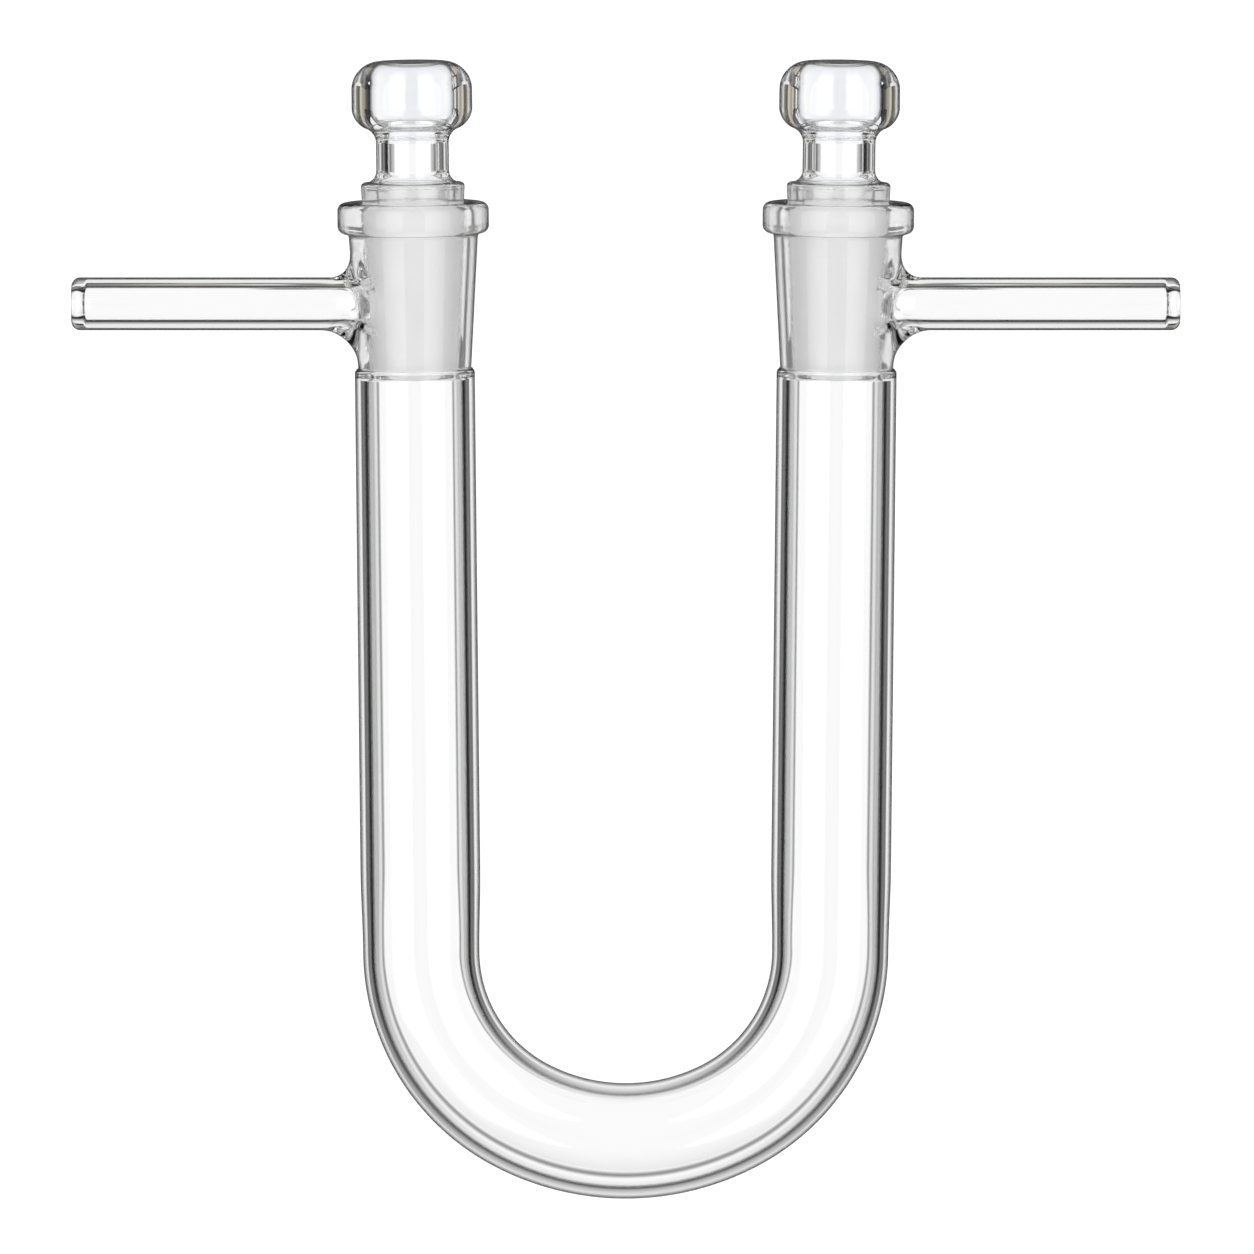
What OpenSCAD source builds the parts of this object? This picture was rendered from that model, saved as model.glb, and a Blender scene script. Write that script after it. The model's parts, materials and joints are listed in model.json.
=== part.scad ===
// Drying tube: a glass U-tube with a ground socket and a side arm on each leg,
// and a hollow ported stopper that turns in each socket.
// The U is drawn in the XY plane, with Y = 0 where the bend starts, and is then laid down
// as it comes to rest, on its two collars and the bottom of its bend.

/* [U-tube] */
// Outside diameter of the legs
tube_d = 17; // [14.5:0.5:20]
// Wall of the legs
tube_wall = 1.8; // [1.2:0.1:3.5]
// Length of each straight leg, from the bend to its socket
leg_l = 83; // [50:1:140]
// Distance between the legs' centre lines where the bend starts
leg_spacing = 58; // [44:1:90]
// How far each leg leans outward, in degrees
leg_lean = 0.6; // [0:0.05:2]
// Centre-line radius of the bend's two corners
corner_r = 26.5; // [20:0.5:32]
// How far each corner turns, in degrees
corner_turn = 62; // [45:1:75]
// How much the tube's radius draws in round the bend
bend_thinning = 0.25; // [0.05:0.05:0.4]

/* [Ground sockets] */
// Bore at the wide end of the ground cone
ground_d = 14.5; // [12.5:0.5:17.5]
// Length of the ground cone
ground_l = 23; // [18:0.5:30]
// Length over which the ground cone's diameter changes by one unit
ground_taper = 10; // [8:1:20]
// Glass round the ground cone at the socket's mouth
socket_wall = 2.15; // [1.6:0.05:3]
// How much thinner that glass gets by the socket's foot
socket_thinning = 0.25; // [0:0.05:0.5]
// How far the collar round the mouth stands out from the socket
collar_stand = 1.3; // [0.8:0.1:3]
// Height of the collar
collar_h = 4.4; // [3:0.1:8]
// Rounding of the collar's edges
collar_edge = 1.1; // [0.4:0.1:1.4]
// Rounding of the socket's mouth
mouth_edge = 0.6; // [0.2:0.1:1]

/* [Side arms] */
// Outside diameter of the side arms
arm_d = 7.5; // [6:0.1:9]
// Bore of the side arms
arm_bore_d = 4.7; // [3:0.1:5.2]
// How much the arm's radius swells at its root on the socket
root_swell = 0.35; // [0.1:0.05:0.6]
// Distance over the tips of both arms
arm_span = 157; // [120:1:220]
// Height of the socket's rim above the arm's centre line
arm_drop = 14.4; // [12:0.1:17]
// Radius of the web above the arm
upper_web_r = 3.6; // [2:0.1:4]
// Radius of the web below the arm
lower_web_r = 4.7; // [2:0.1:5.5]
// Mouth of the fire-polished tips, where the bore is drawn in
tip_bore_d = 3.7; // [2:0.1:4]
// Length over which the bore is drawn in to that mouth
tip_neck_l = 1.6; // [0.8:0.1:3]
// Rounding of the tips, outside
tip_edge = 1.3; // [0.5:0.1:1.4]
// Rounding of the tips, inside
tip_inner_edge = 0.5; // [0.2:0.1:0.5]
// Width of the arm's opening in the ground cone
opening_d = 7; // [5.6:0.1:7.4]
// Length over which that opening narrows to the arm's bore
opening_l = 4.2; // [2:0.1:6]

/* [Stoppers] */
// Radial gap between the plug and its socket
plug_gap = 0.05; // [0.02:0.01:0.1]
// Height of the plug's shoulder above the rim
shoulder_h = 2.8; // [1.5:0.1:5]
// Rounding of the shoulder
shoulder_edge = 0.5; // [0.2:0.1:1]
// Glass round the plug's bore
plug_wall = 2.2; // [1:0.1:2.6]
// Port in the side of the plug
port_d = 4.7; // [2:0.1:6]
// Outside diameter of the neck
neck_d = 10.3; // [7:0.1:11]
// Bore of the neck
neck_bore_d = 7.1; // [3:0.1:7.4]
// Height of the knob's underside above the rim
knob_rise = 10.3; // [9:0.1:16]
// Outside diameter of the knob
knob_d = 17.1; // [16:0.1:20]
// Height of the knob
knob_h = 9.7; // [8.5:0.1:14]
// Rounding of the knob's top
knob_top_edge = 4; // [1:0.1:4.2]
// Rounding of the knob's underside
knob_low_edge = 3.1; // [1:0.1:3.5]
// Glass round the knob's hollow
knob_wall = 2.6; // [1.5:0.1:3]
// Glass above and below the knob's hollow
knob_roof = 1.1; // [0.8:0.1:2]

/* [Hidden] */
$fn = 96;
BODY_GLASS = [0.87, 0.90, 0.91];
STOPPER_GLASS = [0.80, 0.83, 0.82];

tube_r = tube_d / 2;
bore_r = tube_r - tube_wall;
arm_r = arm_d / 2;
arm_bore_r = arm_bore_d / 2;
tip_bore_r = tip_bore_d / 2;
neck_r = neck_d / 2;
neck_bore_r = neck_bore_d / 2;
knob_r = knob_d / 2;

// Each length of the bend runs a little way into the one above it, and is this much slimmer
bend_step = 0.03;
bend_overlap = 1;                       // in degrees
leg_taper_l = 12;                       // length over which the leg draws in to the bend
step_l = 1.3;                           // the bore's step between the leg and the ground cone
seam_edge = 0.6;                        // rounding of the leg's shoulder under the socket
sink = 0.1;                             // webs and coves run out this far inside the wall they meet
plug_edge = 0.4;                        // rounding of the plug's foot
shoulder_cove = 1.7;                    // concave corner from the shoulder up into the neck
knob_cove = 2.1;                        // concave corner from the neck out under the knob
bell_drop = 0.4;                        // the plug's bore starts to close this far below the shoulder
bell_l = 1.8;                           // and closes in to the neck's bore over this length
hollow_edge = 2;                        // rounding inside the knob
cut = 0.5;                              // how far a cut runs past the face that it opens

// Heights along a leg's centre line, from the start of the bend
grow = 1 / (2 * ground_taper);          // radius gained for each unit of height
cone_top = leg_l + ground_l;
rim = cone_top + mouth_edge;
arm_s = rim - arm_drop;
function ground_r(s) = ground_d / 2 + (s - cone_top) * grow;
function socket_r(s) = ground_r(s) + socket_wall - socket_thinning * (rim - s) / (rim - leg_l);
collar_r = socket_r(rim) + collar_stand;
collar_foot = rim - collar_h;
plug_foot = leg_l + plug_edge;
shoulder = rim + shoulder_h;
knob_foot = rim + knob_rise;
knob_top = knob_foot + knob_h;

// The bend: a corner each side, and a bottom arc that meets them smoothly on the middle plane
corner_x = leg_spacing / 2 - corner_r * cos(leg_lean);
corner_y = corner_r * sin(leg_lean);
turned = leg_lean + corner_turn;
bottom_r = corner_r + corner_x / cos(turned);
bottom_y = corner_y + corner_x * tan(turned);
low_y = bottom_y - bottom_r;            // centre line at the bottom of the U
bend_tube_r = tube_r - bend_thinning;

// The arm's centre line starts on the leg's, and its tip is arm_span / 2 from the middle plane
arm_start_x = leg_spacing / 2 + arm_s * sin(leg_lean);
arm_y = arm_s * cos(leg_lean);
arm_l = arm_span / 2 - arm_start_x;

// The pose at rest: the legs rise by rest_tilt so that collars and bend share one floor
prop_l = (collar_foot + collar_edge) * cos(leg_lean) - low_y;
rest_tilt = atan2(collar_r, prop_l) - asin(bend_tube_r / norm([prop_l, collar_r]));
floor_z = bend_tube_r - low_y * sin(rest_tilt);
far_y = knob_top * cos(leg_lean) * cos(rest_tilt);
near_y = low_y * cos(rest_tilt) - bend_tube_r;

// ---- placing ----

module at_rest() {
    translate([0, -(far_y + near_y) / 2, floor_z]) rotate([rest_tilt, 0, 0]) children();
}

// The child's Z becomes the right-hand leg's centre line
module on_leg() {
    translate([leg_spacing / 2, 0, 0]) rotate([0, 0, -leg_lean]) rotate([-90, 0, 0]) children();
}

// The child's Z becomes the right-hand arm's centre line, from the leg outward
module on_arm() {
    translate([arm_start_x, arm_y, 0]) rotate([0, 90, 0]) children();
}

module both_sides() {
    children();
    mirror([1, 0, 0]) children();
}

// ---- outlines: radius along X, height along Y ----

// Half of a disc between two heights, with its lower and upper rims rounded
module round_disc(r, low, high, low_edge, high_edge) {
    translate([0, low + low_edge]) square([r, high - low - low_edge - high_edge]);
    round_rim(r, low + low_edge, low_edge);
    round_rim(r, high - high_edge, high_edge);
}

module round_rim(r, height, edge) {
    if (edge > 0) {
        translate([0, height - edge]) square([r - edge, 2 * edge]);
        translate([r - edge, height]) circle(edge);
    }
}

// Half of a cone between two heights
module cone(low, low_r, high, high_r) {
    polygon([[0, low], [low_r, low], [high_r, high], [0, high]]);
}

// Concave corner of radius f between a wall of radius r and a ledge: side 1 above it, -1 below
module cove(r, ledge, f, side) {
    difference() {
        translate([r - f, min(ledge, ledge + side * f)]) square([2 * f, f]);
        translate([r + f, ledge + side * f]) circle(f);
    }
}

// Concave corner of radius f from a wall of radius r out under a disc, and smooth with the
// rounding of the disc's lower rim
module cove_to_rim(r, f, disc_r, low, low_edge) {
    past = max(0, r + f - (disc_r - low_edge));
    high = low + low_edge;
    start = high - sqrt(pow(low_edge + f, 2) - pow(past, 2));
    difference() {
        polygon([[r - f, start], [r + f, start], [r + f - past, high], [r - f, high]]);
        translate([r + f, start]) circle(f);
    }
}

// Mouth of a bore of radius r that opens at a height, with its lip rounded
module round_mouth(r, height, edge) {
    difference() {
        translate([0, height - edge]) square([r + edge, edge + cut]);
        translate([r + edge, height - edge]) circle(edge);
    }
}

// ---- tube body ----

// The bend as a rod of radius r: a corner each side, run into a bottom arc
module bend(r) {
    both_sides() translate([corner_x, corner_y, 0])
        rotate_extrude(start = -turned, angle = corner_turn + bend_overlap)
            translate([corner_r, 0]) circle(r);
    translate([0, bottom_y, 0])
        rotate_extrude(start = 180 + turned - bend_overlap, angle = 180 - 2 * (turned - bend_overlap))
            translate([bottom_r, 0]) circle(r - bend_step);
}

// Leg, socket and collar, turned as one outline
module leg_outside() {
    socket_foot = leg_l - seam_edge;
    socket_top = collar_foot + collar_edge;
    rotate_extrude() {
        cone(0, bend_tube_r + bend_step, leg_taper_l, tube_r);
        round_disc(tube_r, leg_taper_l, leg_l, 0, seam_edge);
        cone(socket_foot, socket_r(socket_foot), socket_top, socket_r(socket_top));
        cove(socket_r(collar_foot) - sink, collar_foot, collar_edge / 2, -1);
        round_disc(collar_r, collar_foot, rim, collar_edge, collar_edge);
    }
}

// Bore of the leg, its step to the ground cone, the cone and its rounded mouth
module leg_inside() {
    rotate_extrude() {
        square([bore_r + bend_step, leg_l - step_l]);
        cone(leg_l - step_l, bore_r + bend_step, leg_l, ground_r(leg_l));
        cone(leg_l, ground_r(leg_l), cone_top, ground_r(cone_top));
        round_mouth(ground_r(cone_top), rim, mouth_edge);
    }
}

// Arm, with a root that swells towards the socket and a rounded tip
module arm_outside() {
    root_foot = socket_r(arm_s) - sink;
    root_l = max(web_out(upper_web_r, 1), web_out(lower_web_r, -1));
    rotate_extrude() {
        square([arm_r + root_swell, root_foot]);
        cone(root_foot, arm_r + root_swell, root_l, arm_r);
        round_disc(arm_r, root_l, arm_l, 0, tip_edge);
    }
}

// Arm's bore, flared where it opens in the ground cone and drawn in at the tip
module arm_inside() {
    flare_foot = ground_r(arm_s);
    flare_slope = (opening_d / 2 - arm_bore_r) / opening_l;
    mouth_foot = arm_l - tip_inner_edge;
    rotate_extrude() {
        square([arm_bore_r, mouth_foot - tip_neck_l]);
        cone(0, opening_d / 2 + flare_foot * flare_slope, flare_foot + opening_l, arm_bore_r);
        cone(mouth_foot - tip_neck_l, arm_bore_r, mouth_foot, tip_bore_r);
        round_mouth(tip_bore_r, arm_l, tip_inner_edge);
    }
}

// How far from the leg's centre line a web of radius r runs out along the arm
function web_out(r, side) = socket_r(arm_s + side * (arm_r + r)) - sink + r;

// Web that fills the corner between arm and socket: side 1 above the arm, -1 below
module web(r, side) {
    rod_r = arm_r - sink;
    translate([arm_start_x + web_out(r, side), arm_y + side * (arm_r + r), 0])
        rotate_extrude(start = side > 0 ? 180 : 90, angle = 90)
            translate([r + rod_r, 0]) circle(rod_r);
}

module tube_body() {
    color(BODY_GLASS) at_rest() difference() {
        union() {
            bend(bend_tube_r);
            both_sides() {
                on_leg() leg_outside();
                on_arm() arm_outside();
                web(upper_web_r, 1);
                web(lower_web_r, -1);
            }
        }
        bend(bore_r);
        both_sides() {
            on_leg() leg_inside();
            on_arm() arm_inside();
        }
    }
}

// ---- stoppers ----

function plug_r(s) = ground_r(s) - plug_gap;

// Plug, shoulder, neck and knob, turned as one outline
module stopper_outside() {
    straight_top = shoulder - shoulder_edge;
    rotate_extrude() {
        round_disc(plug_r(plug_foot), plug_foot, plug_foot + 3 * plug_edge, plug_edge, 0);
        cone(plug_foot + plug_edge, plug_r(plug_foot + plug_edge), straight_top, plug_r(straight_top));
        round_disc(plug_r(straight_top), straight_top - shoulder_edge, shoulder, 0, shoulder_edge);
        cove(neck_r, shoulder, shoulder_cove, 1);
        translate([0, shoulder]) square([neck_r, knob_foot - shoulder]);
        cove_to_rim(neck_r, knob_cove, knob_r, knob_foot, knob_low_edge);
        round_disc(knob_r, knob_foot, knob_top, knob_low_edge, knob_top_edge);
    }
}

// Bore of the plug and neck, and the knob's hollow, closed at the top
module stopper_inside() {
    bell = shoulder - bell_drop;
    bell_r = plug_r(bell) - plug_wall;
    rotate_extrude() {
        cone(plug_foot - cut, plug_r(plug_foot - cut) - plug_wall, bell, bell_r);
        cone(bell, bell_r, bell + bell_l, neck_bore_r);
        translate([0, bell]) square([neck_bore_r, knob_foot + knob_roof + hollow_edge - bell]);
        round_disc(knob_r - knob_wall, knob_foot + knob_roof, knob_top - knob_roof, hollow_edge, hollow_edge);
    }
}

module stopper() {
    on_leg() difference() {
        stopper_outside();
        stopper_inside();
    }
}

module stopper_right() {
    color(STOPPER_GLASS) at_rest() difference() {
        stopper();
        on_arm() cylinder(h = ground_r(arm_s) + cut, d = port_d);
    }
}

module stopper_left() {
    mirror([1, 0, 0]) stopper_right();
}

tube_body();
stopper_left();
stopper_right();
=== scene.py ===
# A drying tube in clear glass: a U-tube with a ground socket and a side arm on each leg, and two stoppers.
# The sizes below are in millimetres. Heights run along a leg's own line, from where the bend starts.
import json
import math

import bmesh
import bpy
from mathutils import Matrix, Vector


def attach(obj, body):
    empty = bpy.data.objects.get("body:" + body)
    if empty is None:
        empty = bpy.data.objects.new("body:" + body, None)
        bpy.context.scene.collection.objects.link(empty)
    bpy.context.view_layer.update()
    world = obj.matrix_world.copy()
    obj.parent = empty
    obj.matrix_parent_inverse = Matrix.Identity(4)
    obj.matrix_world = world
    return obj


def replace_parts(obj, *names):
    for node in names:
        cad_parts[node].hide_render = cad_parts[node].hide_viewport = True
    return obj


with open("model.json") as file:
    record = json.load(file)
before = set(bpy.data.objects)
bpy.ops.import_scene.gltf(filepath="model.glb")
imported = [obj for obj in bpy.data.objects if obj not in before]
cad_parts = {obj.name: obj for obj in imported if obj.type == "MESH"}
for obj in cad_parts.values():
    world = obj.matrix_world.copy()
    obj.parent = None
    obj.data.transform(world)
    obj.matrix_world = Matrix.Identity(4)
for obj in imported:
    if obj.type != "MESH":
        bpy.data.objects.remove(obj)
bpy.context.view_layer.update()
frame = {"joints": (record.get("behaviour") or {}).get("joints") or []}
print("frame loaded")

around = 128            # faces round each turned wall
guardGap = 0.12         # a ring this far from each rounded corner keeps the long walls straight
faceReach = 0.04        # how far off its cone the middle of a ground face can lie
mergeGap = 1e-4         # points of a turned wall that are closer than this are one point
cornerReach = 2e-3      # how far off a rounded corner its own ring of points can lie
seamGap = 0.01          # the two halves of the tube are joined where their points are closer than this

# Where the legs are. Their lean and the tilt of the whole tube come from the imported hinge.
legs = {"spacing": 58.0, "rim": 106.6, "cornerRadius": 26.5, "cornerTurn": 62.0, "cornerRows": 44, "bottomRows": 22}

turnRight = next(joint for joint in frame["joints"] if joint["name"] == "turn_right")
legWay = Vector(turnRight["axis"]).normalized()
lean = math.asin(legWay.x)
restTilt = math.atan2(legWay.z, legWay.y)

legToPlan = (Matrix.Translation((legs["spacing"] / 2, 0, 0)) @ Matrix.Rotation(-lean, 4, "Z")
             @ Matrix.Rotation(-math.pi / 2, 4, "X"))
planTurn = Matrix.Rotation(restTilt, 4, "X") @ Matrix.Scale(0.001, 4)
rimPlace = planTurn @ (legToPlan @ Vector((0, 0, legs["rim"])))
planToRow = Matrix.Translation(Vector(turnRight["pos_m"]) - rimPlace) @ planTurn
acrossMirror = Matrix.Scale(-1, 4, (1, 0, 0))


# Turned and drawn glass

def between(start, end, rows):
    # evenly spaced rings from start to end, both included
    return [(start[0] + (end[0] - start[0]) * i / rows, start[1] + (end[1] - start[1]) * i / rows)
            for i in range(rows + 1)]


def withGuards(outline):
    # an outline point is (radius, height), or (radius, height, rounding, segments) at a rounded corner
    path, corners = [], []
    for i, point in enumerate(outline):
        if len(point) == 2:
            path.append(point)
            continue
        here = Vector(point[:2])
        toLast = Vector(outline[i - 1][:2]) - here
        toNext = Vector(outline[i + 1][:2]) - here
        reach = point[2] * math.tan((math.pi - toLast.angle(toNext)) / 2)
        if toLast.length > reach + 2 * guardGap:
            path.append(tuple(here + toLast.normalized() * (reach + guardGap)))
        path.append(tuple(here))
        if toNext.length > reach + 2 * guardGap:
            path.append(tuple(here + toNext.normalized() * (reach + guardGap)))
        corners.append((here, reach, point[3]))
    return path, corners


def turnedWall(outline):
    # the outline is spun about Z, and its rounded corners are then bevelled
    path, corners = withGuards(outline)
    bm = bmesh.new()
    verts = [bm.verts.new((radius, 0, height)) for radius, height in path]
    edges = [bm.edges.new(pair) for pair in zip(verts, verts[1:])]
    bmesh.ops.spin(bm, geom=verts + edges, cent=(0, 0, 0), axis=(0, 0, 1), angle=2 * math.pi,
                   steps=around, use_merge=True)
    bmesh.ops.remove_doubles(bm, verts=bm.verts, dist=mergeGap)
    for corner, reach, segments in corners:
        ring = [e for e in bm.edges if all(
            (Vector((math.hypot(v.co.x, v.co.y), v.co.z)) - corner).length < cornerReach for v in e.verts)]
        bmesh.ops.bevel(bm, geom=ring, offset=reach, offset_type="OFFSET", segments=segments, profile=0.5,
                        affect="EDGES", material=-1, clamp_overlap=False)
    return bm


def openWindow(bm, heights, columns, radii):
    # opens the wall towards +X between two heights and radii, and returns the rim, numbered round from its top
    low, high = heights
    inner, outer = radii
    rimMargin = 0.01
    halfTurn = math.pi * columns / around
    gone = []
    for face in bm.faces:
        middle = face.calc_center_median()
        radius = math.hypot(middle.x, middle.y)
        if low < middle.z < high and inner < radius < outer and abs(math.atan2(middle.y, middle.x)) < halfTurn:
            gone.append(face)
    bmesh.ops.delete(bm, geom=gone, context="FACES")
    number = bm.verts.layers.int.get("number") or bm.verts.layers.int.new("number")
    rim = [e for e in bm.edges if e.is_boundary and all(
        low - rimMargin < v.co.z < high + rimMargin and inner - 1 < math.hypot(v.co.x, v.co.y) < outer + 1
        for v in e.verts)]
    middleHeight, middleRadius = (low + high) / 2, (inner + outer) / 2

    def turnOf(v):
        # the topmost point may come out a hair below zero
        turn = math.atan2(math.atan2(v.co.y, v.co.x) * middleRadius, v.co.z - middleHeight)
        return turn if turn > -1e-4 else turn + 2 * math.pi

    for i, v in enumerate(sorted({v for e in rim for v in e.verts}, key=turnOf)):
        v[number] = i
    return rim


def drawOn(bm, edges, place):
    # extrudes a ring of edges, and puts each new vertex where place(turn) says
    number = bm.verts.layers.int["number"]
    made = bmesh.ops.extrude_edge_only(bm, edges=edges)["geom"]
    fresh = {v for v in made if isinstance(v, bmesh.types.BMVert)}
    for v in fresh:
        v.co = place(2 * math.pi * v[number] / len(edges))
    return [e for e in made if isinstance(e, bmesh.types.BMEdge) and all(v in fresh for v in e.verts)]


def addObject(bm, name, finishes):
    mesh = bpy.data.meshes.new(name)
    bm.to_mesh(mesh)
    bm.free()
    for finish in finishes:
        mesh.materials.append(finish)
    added = bpy.data.objects.new(name, mesh)
    bpy.context.scene.collection.objects.link(added)
    return added


def addPiece(bm, name, body):
    bmesh.ops.recalc_face_normals(bm, faces=bm.faces)
    openEdges = sum(not e.is_manifold for e in bm.edges)
    piece = addObject(bm, name, (clearGlass, groundGlass, satinGlass, rimGlass))
    piece.data.shade_smooth()
    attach(piece, body)
    print(name, len(piece.data.polygons), "faces,", openEdges, "open edges")
    return piece


# Glass

clear, ground, satin, rimGround = range(4)          # the material slots of each piece

# the last list is painted shade: the clear glass's colour set by how edge on it is met, darkening towards its
# outlines
glass = {"ior": 1.47, "shadowPass": 0.8, "edge": [(0, 1.0), (0.63, 1.0), (0.71, 0.35), (0.8, 0.1)]}
frost = {
    "scale": 2500.0, "detail": 3, "noiseRange": (0.3, 0.7), "strength": 0.2, "depth": 0.0001,
    "slant": 0.25, "rimSlant": 0.38, "fade": 0.05, "slantDullness": 0.03,
}
coarse, fine = (0.42, 0.58), (0.06, 0.12)           # least and most roughness of a ground and of a satin face


def stripes(nodes, links, source, stops):
    # a level, grey or coloured, at each place on the source's scale from 0 to 1
    node = nodes.new("ShaderNodeValToRGB")
    elements = node.color_ramp.elements
    while len(elements) < len(stops):
        elements.new(0.5)
    for element, (place, level) in zip(elements, stops):
        element.position = place
        element.color = (*(level if isinstance(level, tuple) else (level, level, level)), 1)
    links.new(source, node.inputs["Fac"])
    return node.outputs["Color"]


def calculate(nodes, links, operation, *values):
    node = nodes.new("ShaderNodeMath")
    node.operation = operation
    for socket, value in zip(node.inputs, values):
        if isinstance(value, (int, float)):
            socket.default_value = value
        else:
            links.new(value, socket)
    return node.outputs["Value"]


def mixShaders(nodes, links, share, first, second):
    mix = nodes.new("ShaderNodeMixShader")
    for socket, value in zip(mix.inputs, (share, first, second)):
        links.new(value, socket)
    links.new(mix.outputs["Shader"], nodes["Material Output"].inputs["Surface"])


def newMaterial(name):
    material = bpy.data.materials.new(name)
    material.use_nodes = True
    return material, material.node_tree.nodes, material.node_tree.links


def glassMaterial(name, roughness=None, clearness=1.0, whiteness=1.0, slant=frost["slant"]):
    material, nodes, links = newMaterial(name)
    shader = nodes["Principled BSDF"]
    shader.inputs["Base Color"].default_value = (whiteness, whiteness, whiteness, 1)
    shader.inputs["Transmission Weight"].default_value = clearness
    shader.inputs["Roughness"].default_value = 0.0
    shader.inputs["IOR"].default_value = glass["ior"]
    graze = nodes.new("ShaderNodeLayerWeight")
    graze.inputs["Blend"].default_value = 0.5
    if roughness:
        # a ground face met at a slant throws light back like a polished one
        dull = stripes(nodes, links, graze.outputs["Facing"],
                       [(0, 1.0), (slant, 1.0), (slant + frost["fade"], frost["slantDullness"])])
        noise = nodes.new("ShaderNodeTexNoise")
        links.new(nodes.new("ShaderNodeTexCoord").outputs["Object"], noise.inputs["Vector"])
        noise.inputs["Scale"].default_value = frost["scale"]
        noise.inputs["Detail"].default_value = frost["detail"]
        spread = nodes.new("ShaderNodeMapRange")
        links.new(noise.outputs["Fac"], spread.inputs["Value"])
        for ends, values in (("From", frost["noiseRange"]), ("To", roughness)):
            spread.inputs[ends + " Min"].default_value, spread.inputs[ends + " Max"].default_value = values
        links.new(calculate(nodes, links, "MULTIPLY", spread.outputs["Result"], dull), shader.inputs["Roughness"])
        bump = nodes.new("ShaderNodeBump")
        links.new(calculate(nodes, links, "MULTIPLY", dull, frost["strength"]), bump.inputs["Strength"])
        bump.inputs["Distance"].default_value = frost["depth"]
        links.new(noise.outputs["Fac"], bump.inputs["Height"])
        links.new(bump.outputs["Normal"], shader.inputs["Normal"])
    else:
        # painted shade: the glass's colour is darkened where it is met edge on, which draws its dark outlines
        links.new(stripes(nodes, links, graze.outputs["Facing"], glass["edge"]), shader.inputs["Base Color"])
    # lamps shine through the glass, so that it throws only a pale shadow
    path = nodes.new("ShaderNodeLightPath")
    shadow = calculate(nodes, links, "MULTIPLY", path.outputs["Is Shadow Ray"], glass["shadowPass"])
    mixShaders(nodes, links, shadow, shader.outputs["BSDF"],
               nodes.new("ShaderNodeBsdfTransparent").outputs["BSDF"])
    return material


def frostFaces(bm, finish):
    for face in bm.faces:
        face.material_index = finish(face.calc_center_median())


clearGlass = glassMaterial("clearGlass")
groundGlass = glassMaterial("groundGlass", coarse, clearness=0.75, whiteness=0.9)
satinGlass = glassMaterial("satinGlass", fine, clearness=0.85, whiteness=0.74)
rimGlass = glassMaterial("rimGlass", coarse, clearness=0.75, whiteness=0.9, slant=frost["rimSlant"])
print("glass mixed")


# Tube body: leg, ground socket, collar, side arm and bend

tube = {
    "radius": 8.5, "bore": 6.73, "bendRadius": 8.25, "bottomRadius": 8.2, "taperLength": 12.0, "taperRows": 8,
    "legLength": 83.0, "shoulderRounding": 0.6, "socketFootRounding": 0.12, "boreStep": 1.3, "boreRounding": 0.8,
    "socketWall": 2.15, "socketThinning": 0.25,
    "groundRadius": 7.25, "groundLength": 23.0, "groundTaper": 0.05, "groundFootRounding": 0.5,
    "collarHeight": 4.4, "collarStand": 1.29, "collarRounding": 1.1, "mouthRounding": 0.6,
    "window": (83.3, 100.4), "windowRadii": (7.6, 9.6), "windowColumns": 28, "windowRows": 36,
    "openingReach": 4.15, "openingRadii": (5.8, 7.2), "openingColumns": 30, "openingRows": 34,
}
arm = {
    "radius": 3.75, "bore": 2.35, "tip": 78.499, "drop": 14.4, "tipRounding": 1.3, "mouth": 1.85,
    "mouthNeck": 1.6, "mouthRounding": 0.5, "openingRadius": 3.5, "openingLength": 4.2,
    "webUp": 3.6, "webDown": 4.7, "webSide": 3.0, "webOverlap": 0.1, "webRings": 16,
    "tipRows": 10, "mouthRows": 6, "firstRing": 13.2, "rings": (24, 36),
    "flareShares": (0.93, 0.8, 0.6, 0.4, 0.2, 0.05), "lipShare": 0.02,
}

coneTop = tube["legLength"] + tube["groundLength"]
armHeight = legs["rim"] - arm["drop"]


def groundAt(height):
    return tube["groundRadius"] + (height - coneTop) * tube["groundTaper"]


def socketAt(height):
    share = (legs["rim"] - height) / (legs["rim"] - tube["legLength"])
    return groundAt(height) + tube["socketWall"] - tube["socketThinning"] * share


def onCone(radiusAt, height, turn):
    radius = radiusAt(height)
    return Vector((radius * math.cos(turn), radius * math.sin(turn), height))


# The side arm's own directions, seen from the leg
armWay = Vector((math.cos(lean), 0, math.sin(lean)))
armUp = Vector((-math.sin(lean), 0, math.cos(lean)))
armSide = Vector((0, 1, 0))
armStart = Vector((0, 0, armHeight))
armStartX = legs["spacing"] / 2 + armHeight * math.sin(lean)
armLength = arm["tip"] - armStartX


def armRing(x, radius):
    return lambda turn: (armStart + armWay * x + armUp * radius * math.cos(turn)
                         + armSide * radius * math.sin(turn))


def arc(centre, radius, start, end, segments):
    # points of an arc in the arm's own section, angles in degrees from its outward direction
    return [(centre[0] + radius * math.cos(math.radians(start + (end - start) * i / segments)),
             centre[1] + radius * math.sin(math.radians(start + (end - start) * i / segments)))
            for i in range(segments + 1)]


def webSize(turn):
    # the web's radius above or below the arm
    return arm["webUp"] if math.cos(turn) > 0 else arm["webDown"]


def webFoot(turn):
    # where the web runs out on the socket, and the way it runs there
    step = 0.01
    middle = armHeight + socketAt(armHeight) * math.tan(lean)
    height = middle + (arm["radius"] + webSize(turn)) * math.cos(turn)
    sideCentre = arm["radius"] + arm["webSide"]
    aside = math.asin(sideCentre / (socketAt(height) + arm["webSide"])) * math.sin(turn)
    place = onCone(socketAt, height, aside)
    along = onCone(socketAt, height + step * math.cos(turn), aside + aside * step / sideCentre)
    return place, (along - place).normalized()


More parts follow.
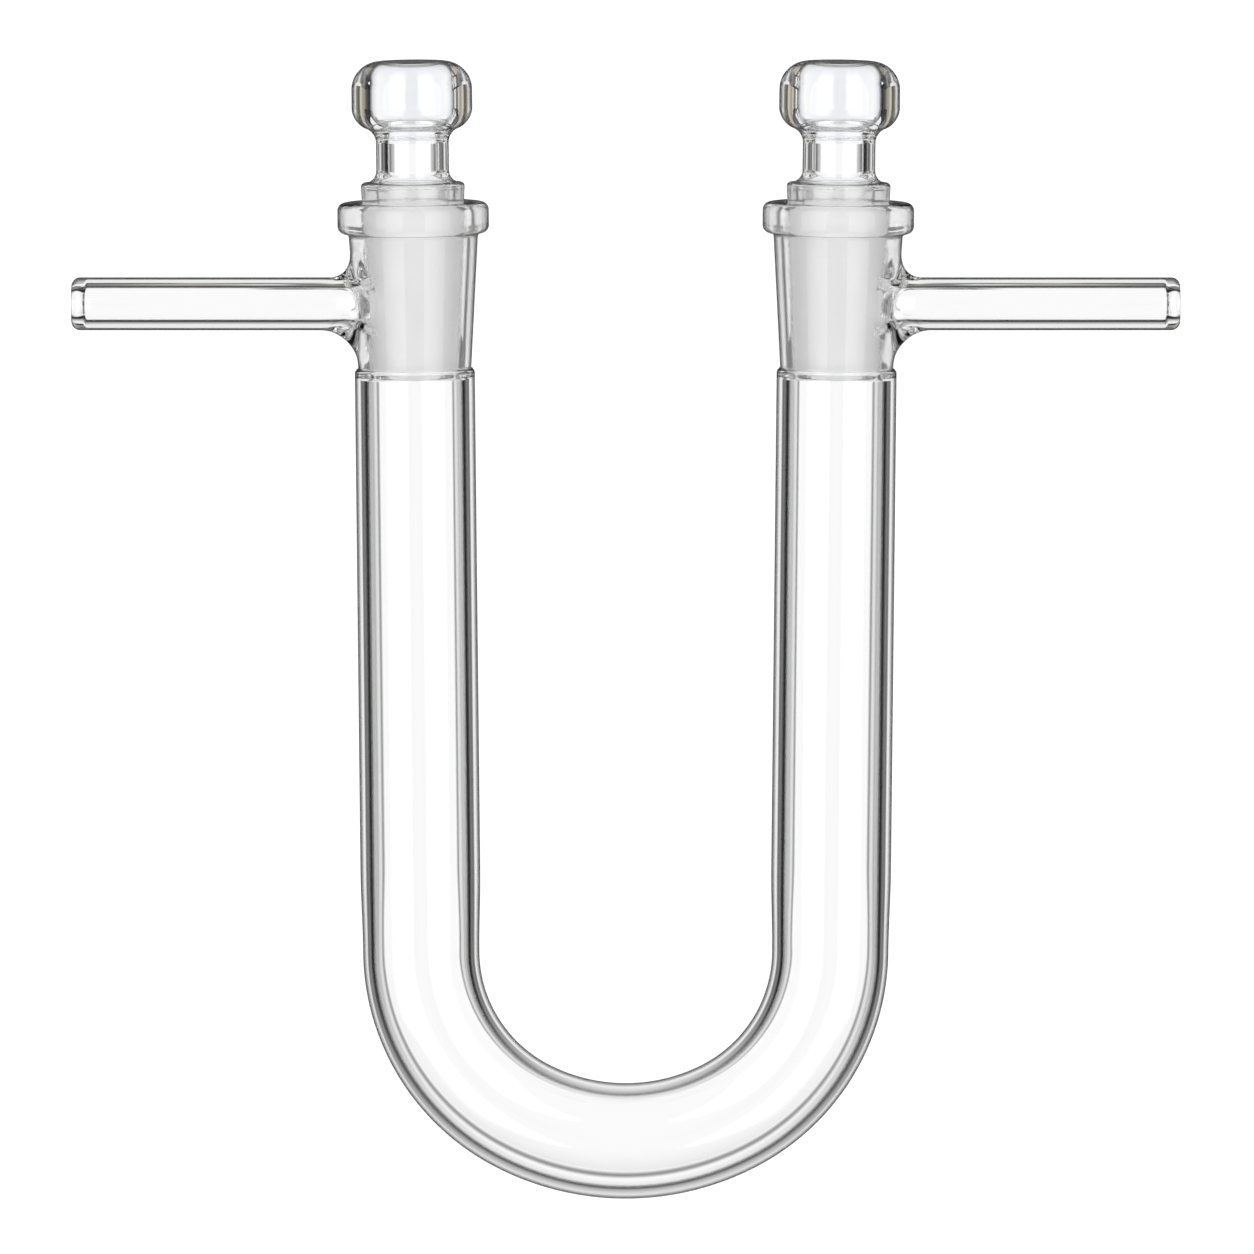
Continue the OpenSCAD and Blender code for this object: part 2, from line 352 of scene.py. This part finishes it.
def webStart(turn):
    # how far out along the arm the web ends
    top = socketAt(armHeight) + webSize(turn) - arm["webOverlap"]
    flank = math.sqrt((socketAt(armHeight) + arm["webSide"]) ** 2 - (arm["radius"] + arm["webSide"]) ** 2)
    return top + (flank - top) * math.sin(turn) ** 2


def webRing(share):
    # share 0 is the foot on the socket, 1 the start on the arm
    def place(turn):
        foot, runOut = webFoot(turn)
        start = armRing(webStart(turn), arm["radius"])(turn)
        size = webSize(turn)
        size += (arm["webSide"] - size) * math.sin(turn) ** 2
        handle = size * 4 / 3 * math.tan((math.pi - armWay.angle(runOut)) / 4)
        a, b, c, d = foot, foot - runOut * handle, start - armWay * handle, start
        s, t = share, 1 - share
        return a * t ** 3 + b * 3 * t * t * s + c * 3 * t * s * s + d * s ** 3
    return place


def openingRing(share):
    # the arm's opening in the ground cone, share 0, to where its flare meets the bore, share 1
    flareFoot = groundAt(armHeight)
    slope = (arm["openingRadius"] - arm["bore"]) / arm["openingLength"]
    middle = armHeight + flareFoot * math.tan(lean)

    def place(turn):
        x = flareFoot
        for _ in range(4):                                   # the flare and the cone meet within a few tries
            radius = arm["openingRadius"] + (flareFoot - x) * slope
            wall = groundAt(middle + radius * math.cos(turn))
            x = math.sqrt(wall ** 2 - (radius * math.sin(turn)) ** 2)
        end = flareFoot + arm["openingLength"]
        along = x + (end - x) * share
        return armRing(along, arm["openingRadius"] + (flareFoot - along) * slope)(turn)
    return place


def makeTube():
    collarFoot = legs["rim"] - tube["collarHeight"]
    collarRadius = socketAt(legs["rim"]) + tube["collarStand"]
    webLow, webHigh = tube["window"]
    openLow, openHigh = armHeight - tube["openingReach"], armHeight + tube["openingReach"]
    outline = []
    for i in range(tube["taperRows"] + 1):                   # the leg swells gently out of the bend
        share = i / tube["taperRows"]
        swell = (1 - math.cos(math.pi * share)) / 2
        outline.append((tube["bendRadius"] + (tube["radius"] - tube["bendRadius"]) * swell,
                        tube["taperLength"] * share))
    outline.append((tube["radius"], tube["legLength"], tube["shoulderRounding"], 8))
    outline.append((socketAt(tube["legLength"]), tube["legLength"], tube["socketFootRounding"], 4))
    outline += between((socketAt(webLow), webLow), (socketAt(webHigh), webHigh), tube["windowRows"])
    outline += [
        (socketAt(collarFoot), collarFoot, tube["collarRounding"] / 2, 6),
        (collarRadius, collarFoot, tube["collarRounding"], 8),
        (collarRadius, legs["rim"], tube["collarRounding"], 8),
        (groundAt(coneTop), legs["rim"], tube["mouthRounding"], 6),
    ]
    outline += between((groundAt(openHigh), openHigh), (groundAt(openLow), openLow), tube["openingRows"])
    outline += [
        (groundAt(tube["legLength"]), tube["legLength"], tube["groundFootRounding"], 4),
        (tube["bore"], tube["legLength"] - tube["boreStep"], tube["boreRounding"], 5),
        (tube["bore"], 0),
    ]
    bm = turnedWall(outline)
    foot = openWindow(bm, tube["window"], tube["windowColumns"], tube["windowRadii"])
    opening = openWindow(bm, (openLow, openHigh), tube["openingColumns"], tube["openingRadii"])
    print("windows", len(foot), len(opening))

    # the arm is drawn out of the socket's wall, round its tip and back to the ground cone
    ring = foot
    for i in range(arm["webRings"] + 1):
        ring = drawOn(bm, ring, webRing(i / arm["webRings"]))
    tipCentre = (armLength - arm["tipRounding"], arm["radius"] - arm["tipRounding"])
    mouthCentre = (armLength - arm["mouthRounding"], arm["mouth"] + arm["mouthRounding"])
    neckFoot = armLength - arm["mouthRounding"] - arm["mouthNeck"]
    flareEnd = groundAt(armHeight) + arm["openingLength"]
    section = [(x, arm["radius"]) for x in (arm["firstRing"], *arm["rings"], tipCentre[0] - guardGap)]
    section += arc(tipCentre, arm["tipRounding"], 90, 0, arm["tipRows"])
    section += arc(mouthCentre, arm["mouthRounding"], 0, -90, arm["mouthRows"])
    # behind the mouth the glass eases back into the bore
    section += [
        (neckFoot + 0.4, arm["mouth"] + 0.09), (neckFoot + 0.15, arm["bore"] - 0.07),
        (neckFoot, arm["bore"] - 0.02), (neckFoot - 0.3, arm["bore"]),
    ]
    section += [(x, arm["bore"]) for x in (*reversed(arm["rings"]), flareEnd + 0.5)]
    section.append((flareEnd + 0.2, arm["bore"] + 0.01))
    for x, radius in section:
        ring = drawOn(bm, ring, armRing(x, radius))
    for share in arm["flareShares"]:
        ring = drawOn(bm, ring, openingRing(share))
    lip = drawOn(bm, opening, openingRing(0))
    lip = drawOn(bm, lip, openingRing(arm["lipShare"]))
    bmesh.ops.bridge_loops(bm, edges=ring + lip)
    bmesh.ops.transform(bm, matrix=legToPlan, verts=bm.verts)

    # the bend: both walls are spun on round the corner, and then round the bottom to the middle
    ends = [e for e in bm.edges if e.is_boundary]
    geometry = ends + list(dict.fromkeys(v for e in ends for v in e.verts))
    cornerCentre = legToPlan @ Vector((-legs["cornerRadius"], 0, 0))
    bottomTurn = math.pi / 2 - lean - math.radians(legs["cornerTurn"])
    bottomWay = Vector((math.sin(bottomTurn), -math.cos(bottomTurn), 0))
    bottomCentre = cornerCentre - bottomWay * (cornerCentre.x / math.sin(bottomTurn))
    for centre, turn, steps in ((cornerCentre, math.radians(legs["cornerTurn"]), legs["cornerRows"]),
                                (bottomCentre, bottomTurn, legs["bottomRows"])):
        made = bmesh.ops.spin(bm, geom=geometry, cent=centre, axis=(0, 0, 1), angle=-turn, steps=steps)
        geometry = made["geom_last"]

    # the drawing leaves the tube a little slimmer towards the bottom of the bend
    startWay = (legToPlan.translation - cornerCentre).normalized()
    slimming = 1 - tube["bottomRadius"] / tube["bendRadius"]
    bottomTurnRadius = legs["cornerRadius"] + (bottomCentre - cornerCentre).length
    for v in bm.verts:
        out = Vector((v.co.x - cornerCentre.x, v.co.y - cornerCentre.y, 0))
        turned = -math.atan2(startWay.cross(out).z, startWay.dot(out)) / math.radians(legs["cornerTurn"])
        if turned <= 0:
            continue
        middle = cornerCentre + out.normalized() * legs["cornerRadius"]
        if turned > 1:
            out = Vector((v.co.x - bottomCentre.x, v.co.y - bottomCentre.y, 0))
            middle = bottomCentre + out.normalized() * bottomTurnRadius
        v.co = middle + (v.co - middle) * (1 - min(turned, 1) * slimming)
    bmesh.ops.mirror(bm, geom=bm.verts[:] + bm.edges[:] + bm.faces[:], matrix=Matrix.Identity(4),
                     merge_dist=seamGap, axis="X")
    bmesh.ops.remove_doubles(bm, verts=bm.verts, dist=seamGap / 10)

    planToLeg = legToPlan.inverted()

    def inCone(middle):
        middle = planToLeg @ Vector((abs(middle.x), middle.y, middle.z))
        nearCone = abs(math.hypot(middle.x, middle.y) - groundAt(middle.z)) < faceReach
        if not nearCone or not tube["legLength"] < middle.z < coneTop:
            return clear
        return rimGround if middle.z > collarFoot else ground

    frostFaces(bm, inCone)
    bmesh.ops.transform(bm, matrix=planToRow, verts=bm.verts)
    return addPiece(bm, "tubeGlass", "tube")


tubeGlass = makeTube()
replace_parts(tubeGlass, "tube_body")
print("tube made")


# Stoppers

stopper = {
    "gap": 0.05, "foot": 83.4, "footRounding": 0.4, "wall": 2.2, "shoulder": 109.4, "shoulderRounding": 0.5,
    "neck": 5.15, "neckBore": 3.55, "shoulderCove": 1.7, "knobCove": 2.1, "knobFoot": 116.9, "knobHeight": 9.699,
    "knobRadius": 8.55, "knobTop": 4.0, "knobLow": 3.1, "knobWall": 2.6, "knobRoof": 1.1, "hollowRounding": 2.0,
    "bellDrop": 0.4, "bellLength": 1.8, "bellRounding": 1.2, "edgeRounding": 0.3, "roundingKept": 0.99,
    "port": 2.35, "portReach": 3.1, "portColumns": 30, "portRows": 34,
    "portOuterRadii": (6.1, 7.1), "portInnerRadii": (3.8, 4.9), "frostedEnd": 0.3,
}


def plugAt(height):
    return groundAt(height) - stopper["gap"]


def plugBoreAt(height):
    return plugAt(height) - stopper["wall"]


def portRing(radiusAt):
    def place(turn):
        side, rise = stopper["port"] * math.sin(turn), stopper["port"] * math.cos(turn)
        wall = radiusAt(armHeight + rise)
        return armRing(math.sqrt(wall ** 2 - side ** 2), stopper["port"])(turn)
    return place


def makeStopper(name, body, matrix):
    s = stopper
    bell = s["shoulder"] - s["bellDrop"]
    knobTop = s["knobFoot"] + s["knobHeight"]
    hollowFoot, hollowTop = s["knobFoot"] + s["knobRoof"], knobTop - s["knobRoof"]
    portLow, portHigh = armHeight - s["portReach"], armHeight + s["portReach"]
    # the knob's lower rounding runs smoothly into the hollow curve from the neck: where the two meet
    joined = s["knobLow"] + s["knobCove"]
    over = (s["neck"] + s["knobCove"]) - (s["knobRadius"] - s["knobLow"])
    tall = math.sqrt(joined ** 2 - over ** 2)
    across = s["neck"] + s["knobCove"] - over * s["knobCove"] / joined
    rise = s["knobLow"] - tall * s["knobLow"] / joined
    slope = over / tall
    seam = s["knobFoot"] + rise
    hollow = s["knobRadius"] - s["knobWall"]
    outline = [
        (0, knobTop), (s["knobRadius"] / 4, knobTop),
        (s["knobRadius"], knobTop, s["knobTop"], 14),
        (s["knobRadius"], seam + (s["knobRadius"] - across) * slope, s["roundingKept"] * s["knobLow"], 12),
        (s["neck"], seam - (across - s["neck"]) * slope, s["roundingKept"] * s["knobCove"], 10),
        (s["neck"], s["shoulder"], s["shoulderCove"], 10),
        (plugAt(s["shoulder"]), s["shoulder"], s["shoulderRounding"], 6),
        (plugAt(legs["rim"]), legs["rim"]),                  # the ground face ends at the socket's rim
    ]
    outline += between((plugAt(portHigh), portHigh), (plugAt(portLow), portLow), s["portRows"])
    outline += [
        (plugAt(s["foot"]), s["foot"], s["footRounding"], 5),
        (plugBoreAt(s["foot"]), s["foot"], s["edgeRounding"], 4),
    ]
    outline += between((plugBoreAt(portLow), portLow), (plugBoreAt(portHigh), portHigh), s["portRows"])
    outline += [
        (plugBoreAt(bell), bell, s["bellRounding"], 6),
        (s["neckBore"], bell + s["bellLength"], s["bellRounding"], 6),
        (s["neckBore"], hollowFoot, s["edgeRounding"], 4),
        (hollow, hollowFoot, s["hollowRounding"], 8),
        (hollow, hollowTop, s["hollowRounding"], 8),
        (s["knobRadius"] / 4, hollowTop), (0, hollowTop),
    ]
    bm = turnedWall(outline)
    outer = openWindow(bm, (portLow, portHigh), s["portColumns"], s["portOuterRadii"])
    inner = openWindow(bm, (portLow, portHigh), s["portColumns"], s["portInnerRadii"])
    outerLip = drawOn(bm, outer, portRing(plugAt))
    innerLip = drawOn(bm, inner, portRing(plugBoreAt))
    bmesh.ops.bridge_loops(bm, edges=outerLip + innerLip)

    def onPlug(middle):
        offPlug = abs(math.hypot(middle.x, middle.y) - plugAt(middle.z))
        if offPlug > faceReach or middle.z > s["shoulder"] - s["frostedEnd"]:
            return clear
        return ground if middle.z < legs["rim"] else satin

    frostFaces(bm, onPlug)
    bmesh.ops.transform(bm, matrix=planToRow @ matrix @ legToPlan, verts=bm.verts)
    return addPiece(bm, name, body)


for name, body, matrix in (("stopperGlassRight", "stopper_right", Matrix.Identity(4)),
                           ("stopperGlassLeft", "stopper_left", acrossMirror)):
    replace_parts(makeStopper(name, body, matrix), body)
print("stoppers made")


# Floor, light and camera

studio = {
    "cameraLens": 800.0, "sensor": 36, "elevation": 4.37, "target": (0.18, 46.3), "viewWidth": 0.1777, "clipEnd": 20,
    "lampPower": 4.0, "lampPlace": (0.55, 0.1, 0.75), "lampSize": (1.2, 0.7), "gloss": 0.06,
    "floorReach": 6, "floorGrey": 0.3, "floorGlow": 0.8, "floorDrop": 0.0001, "stopperMiddle": 120,
}

# Most rays that are thrown back inside a wall of glass go in and out once, those through a tube go in and out
# twice, and those through the frosted joint more often. These counts of faces passed lie between the three.
wallDepth, jointDepth = 3.5, 5.5

# Brightness of the world for rays that left the glass, by degrees away from straight down. It is read across the
# legs, along them upwards or downwards, and apart from that for the rays that were thrown back inside a wall.
seenThrough = {
    "across": [(0, 1), (11.3, 1), (12.3, 0.2), (13.2, 0.2), (14.4, 0.75), (17, 0.7), (19.5, 0.4), (22.5, 0.55),
               (26, 0.6), (29, 1.0)],
    "up": [(0, 1), (12, 1), (15, 0.85), (26, 0.8), (30, 1.0)],
    "down": [(0, 1), (6, 1), (10.5, 0.85), (11.3, 0.95), (12.3, 0.4), (13.2, 0.15), (14.4, 0.4), (16, 1.0)],
    "walls": [(0, 0.7), (5, 0.8), (10, 1.0), (22, 1.0), (25, 0.5), (28, 0.12), (33, 0.08), (37, 0.14), (41, 0.12),
              (44, 0.01), (52, 0.01), (55, 0.1), (58, 0.01), (75, 0.01), (82, 0.8), (160, 1.0), (165, 0.3)],
    "wallsAlong": [(0, 1), (20, 0.95), (34, 0.7), (48, 0.4), (55, 0.1), (62, 0.02), (75, 0.02), (82, 0.8)],
}

# Lit panels under both stoppers and arms, seen only through the glass. Each has its place and depth in millimetres,
# and its brightness by the distance from the line of the stopper or arm above it: once for rays through the glass,
# and once for rays thrown back in a wall, which see it between its two wallsY. All other rays go on to the world.
rampEnd = 100.0
panels = [
    {"name": "knobPanel", "x": (0, 98), "y": (68.6, 125), "wallsY": (71.2, 84.0), "depth": 20, "line": "stopper",
     "through": [(0, (0.86, 0.88, 0.92)), (9, (0.92, 0.94, 0.97)), (15, 1.0), (22, (0.82, 0.84, 0.88)),
                 (32, 0.95)],
     "walls": [(0, 0.87), (3, 0.8), (7, (0.24, 0.22, 0.17)), (10, (0.2, 0.18, 0.14)), (14, (0.12, 0.11, 0.08)),
               (17, (0.15, 0.13, 0.1)), (20, 0.6), (23, (0.6, 0.58, 0.52)), (28, (0.4, 0.36, 0.28)),
               (37, (0.35, 0.32, 0.25)), (43, (0.18, 0.16, 0.13)), (50, 0.07), (60, 0.03), (98, 0.03)]},
    {"name": "neckPanel", "x": (0, 98), "y": (60.6, 68.6), "wallsY": (60.6, 68.6), "depth": 20, "line": "stopper",
     "through": [(0, 1.0), (9.5, 1.0), (11, 0.5), (14, 0.4), (16, 0.1), (20, 0.1), (24, 1.0)],
     "walls": [(0, 0.1), (2, 0.2), (6, 0.9), (11, 0.9), (15, 0.25), (22, 0.1), (32, 0.3), (36, 0.05), (50, 0.02),
               (60, 0.01)]},
    {"name": "socketPanel", "x": (0, 40.8), "y": (38.5, 60.6), "wallsY": (38.5, 60.6), "depth": 21,
     "line": "stopper", "through": None,
     "walls": [(0, 0.4), (3, 0.9), (20, 0.9), (24, 0.5), (29, 0.03), (34, 0.03), (40, 0.6), (60, 0.55)]},
    {"name": "armPanel", "x": (40.8, 98), "y": (36, 60.6), "wallsY": (36, 60.6), "depth": 20, "line": "arm",
     "through": [(0, 1.0), (rampEnd, 1.0)],
     "walls": [(0, 0.95), (rampEnd, 1.0)]},
]


def grey(level):
    return (level, level, level, 1)


def makeFloor():
    material, nodes, links = newMaterial("floorPaper")
    diffuse = nodes.new("ShaderNodeBsdfDiffuse")
    diffuse.inputs["Color"].default_value = grey(studio["floorGrey"])
    glow = nodes.new("ShaderNodeEmission")
    path = nodes.new("ShaderNodeLightPath")
    links.new(calculate(nodes, links, "MULTIPLY", path.outputs["Is Camera Ray"], studio["floorGlow"]),
              glow.inputs["Strength"])
    both = nodes.new("ShaderNodeAddShader")
    links.new(diffuse.outputs["BSDF"], both.inputs[0])
    links.new(glow.outputs["Emission"], both.inputs[1])
    links.new(both.outputs["Shader"], nodes["Material Output"].inputs["Surface"])
    bm = bmesh.new()
    bmesh.ops.create_grid(bm, x_segments=1, y_segments=1, size=studio["floorReach"])
    floor = addObject(bm, "floor", (material,))
    floor.location.z = -studio["floorDrop"]
    floor.visible_transmission = False        # rays that left the glass pass it, down to the panels and the world
    floor.visible_glossy = False


def ramp(nodes, links, source, name):
    return stripes(nodes, links, source, [(degrees / 180, level) for degrees, level in seenThrough[name]])


def blend(nodes, links, share, first, second):
    node = nodes.new("ShaderNodeMix")
    node.data_type = "RGBA"
    colours = [s for s in node.inputs if s.type == "RGBA"]
    links.new(share, node.inputs["Factor"])
    for socket, value in zip(colours, (first, second)):
        if isinstance(value, tuple):
            socket.default_value = value
        else:
            links.new(value, socket)
    return next(s for s in node.outputs if s.type == "RGBA")


def makeWorld():
    world = bpy.data.worlds.new("studioWorld")
    bpy.context.scene.world = world
    world.use_nodes = True
    nodes, links = world.node_tree.nodes, world.node_tree.links
    background = nodes["Background"]
    split = nodes.new("ShaderNodeSeparateXYZ")
    links.new(nodes.new("ShaderNodeTexCoord").outputs["Generated"], split.inputs["Vector"])
    x, y, z = (split.outputs[axis] for axis in "XYZ")
    fromDown = calculate(nodes, links, "ARCCOSINE", calculate(nodes, links, "MULTIPLY", z, -1))
    fromDown = calculate(nodes, links, "DIVIDE", fromDown, math.pi)
    xx = calculate(nodes, links, "MULTIPLY", x, x)
    yy = calculate(nodes, links, "MULTIPLY", y, y)
    level = calculate(nodes, links, "ADD", calculate(nodes, links, "ADD", xx, yy), 1e-6)
    sideways = calculate(nodes, links, "DIVIDE", xx, level)
    upward = calculate(nodes, links, "GREATER_THAN", y, 0)
    along = blend(nodes, links, upward, ramp(nodes, links, fromDown, "down"), ramp(nodes, links, fromDown, "up"))
    through = blend(nodes, links, sideways, along, ramp(nodes, links, fromDown, "across"))
    walls = blend(nodes, links, sideways, ramp(nodes, links, fromDown, "wallsAlong"),
                  ramp(nodes, links, fromDown, "walls"))
    path = nodes.new("ShaderNodeLightPath")
    depth = path.outputs["Transmission Depth"]
    through = blend(nodes, links, calculate(nodes, links, "LESS_THAN", depth, wallDepth), through, walls)
    through = blend(nodes, links, calculate(nodes, links, "GREATER_THAN", depth, jointDepth), through, grey(1.0))
    plain = blend(nodes, links, path.outputs["Is Glossy Ray"], grey(1.0), grey(studio["gloss"]))
    links.new(blend(nodes, links, path.outputs["Is Transmission Ray"], plain, through),
              background.inputs["Color"])
    background.inputs["Strength"].default_value = 1.0


def makePanel(panel):
    material, nodes, links = newMaterial(panel["name"])
    nodes.remove(nodes["Principled BSDF"])
    split = nodes.new("ShaderNodeSeparateXYZ")
    links.new(nodes.new("ShaderNodeTexCoord").outputs["Object"], split.inputs["Vector"])
    if panel["line"] == "stopper":
        place = calculate(nodes, links, "ABSOLUTE", split.outputs["X"])
        line = (planToRow @ legToPlan @ Vector((0, 0, studio["stopperMiddle"]))).x
    else:
        place = split.outputs["Y"]
        line = (planToRow @ legToPlan @ armStart).y
    off = calculate(nodes, links, "ABSOLUTE", calculate(nodes, links, "SUBTRACT", place, line))
    reading = calculate(nodes, links, "MULTIPLY", off, 1000 / rampEnd)
    levels = [stripes(nodes, links, reading, [(at / rampEnd, level) for at, level in panel[family] or panel["walls"]])
              for family in ("through", "walls")]
    path = nodes.new("ShaderNodeLightPath")
    depth = path.outputs["Transmission Depth"]
    glow = nodes.new("ShaderNodeEmission")
    links.new(blend(nodes, links, calculate(nodes, links, "LESS_THAN", depth, wallDepth), *levels),
              glow.inputs["Color"])
    low, high = (limit / 1000 for limit in panel["wallsY"])
    shown = calculate(nodes, links, "MULTIPLY",
                      calculate(nodes, links, "GREATER_THAN", split.outputs["Y"], low),
                      calculate(nodes, links, "LESS_THAN", split.outputs["Y"], high))
    if panel["through"]:
        shown = calculate(nodes, links, "MAXIMUM", shown,
                          calculate(nodes, links, "GREATER_THAN", depth, wallDepth))
    deepest = jointDepth if panel["through"] else wallDepth
    shown = calculate(nodes, links, "MULTIPLY", shown, calculate(nodes, links, "LESS_THAN", depth, deepest))
    mixShaders(nodes, links, shown, nodes.new("ShaderNodeBsdfTransparent").outputs["BSDF"],
               glow.outputs["Emission"])

    (left, right), (front, back) = panel["x"], panel["y"]
    bm = bmesh.new()
    bmesh.ops.create_grid(bm, x_segments=1, y_segments=1, size=0.5)
    bmesh.ops.scale(bm, vec=(right - left, back - front, 1), verts=bm.verts)
    bmesh.ops.translate(bm, vec=((left + right) / 2, (front + back) / 2, -panel["depth"]), verts=bm.verts)
    bmesh.ops.mirror(bm, geom=bm.verts[:] + bm.edges[:] + bm.faces[:], matrix=Matrix.Identity(4),
                     merge_dist=seamGap, axis="X")
    bmesh.ops.scale(bm, vec=(0.001, 0.001, 0.001), verts=bm.verts)
    panelObject = addObject(bm, panel["name"], (material,))
    panelObject.visible_camera = panelObject.visible_diffuse = panelObject.visible_glossy = False
    panelObject.visible_shadow = False


def makeLamp(place):
    lamp = bpy.data.lights.new("softBox", "AREA")
    lamp.energy = studio["lampPower"]
    lamp.shape = "RECTANGLE"
    lamp.size, lamp.size_y = studio["lampSize"]
    lampObject = bpy.data.objects.new("softBox", lamp)
    lampObject.location = place
    lampObject.rotation_euler = (-Vector(place)).to_track_quat("-Z", "Y").to_euler()
    lampObject.visible_camera = False
    bpy.context.scene.collection.objects.link(lampObject)


def makeCamera():
    camera = bpy.data.cameras.new("camera")
    camera.lens = studio["cameraLens"]
    camera.sensor_width = studio["sensor"]
    camera.clip_end = studio["clipEnd"]
    cameraObject = bpy.data.objects.new("camera", camera)
    tilt = math.radians(studio["elevation"]) - restTilt
    target = planToRow @ Vector((*studio["target"], 0))
    distance = studio["viewWidth"] / 2 / math.tan(camera.angle / 2)
    cameraObject.location = target + Vector((0, math.sin(tilt), math.cos(tilt))) * distance
    cameraObject.rotation_euler = (-tilt, 0, 0)
    bpy.context.scene.collection.objects.link(cameraObject)
    bpy.context.scene.camera = cameraObject


makeFloor()
makeWorld()
for panel in panels:
    makePanel(panel)
lampX, lampY, lampZ = studio["lampPlace"]
for side in (-1, 1):
    makeLamp((lampX * side, lampY, lampZ))
makeCamera()

scene = bpy.context.scene
scene.view_settings.view_transform = "Standard"
scene.world.cycles.sampling_method = "NONE"
scene.cycles.max_bounces = 24
scene.cycles.transmission_bounces = 24
scene.cycles.glossy_bounces = 12
scene.cycles.transparent_max_bounces = 24
scene.cycles.caustics_reflective = True
scene.cycles.caustics_refractive = True
print("studio set")
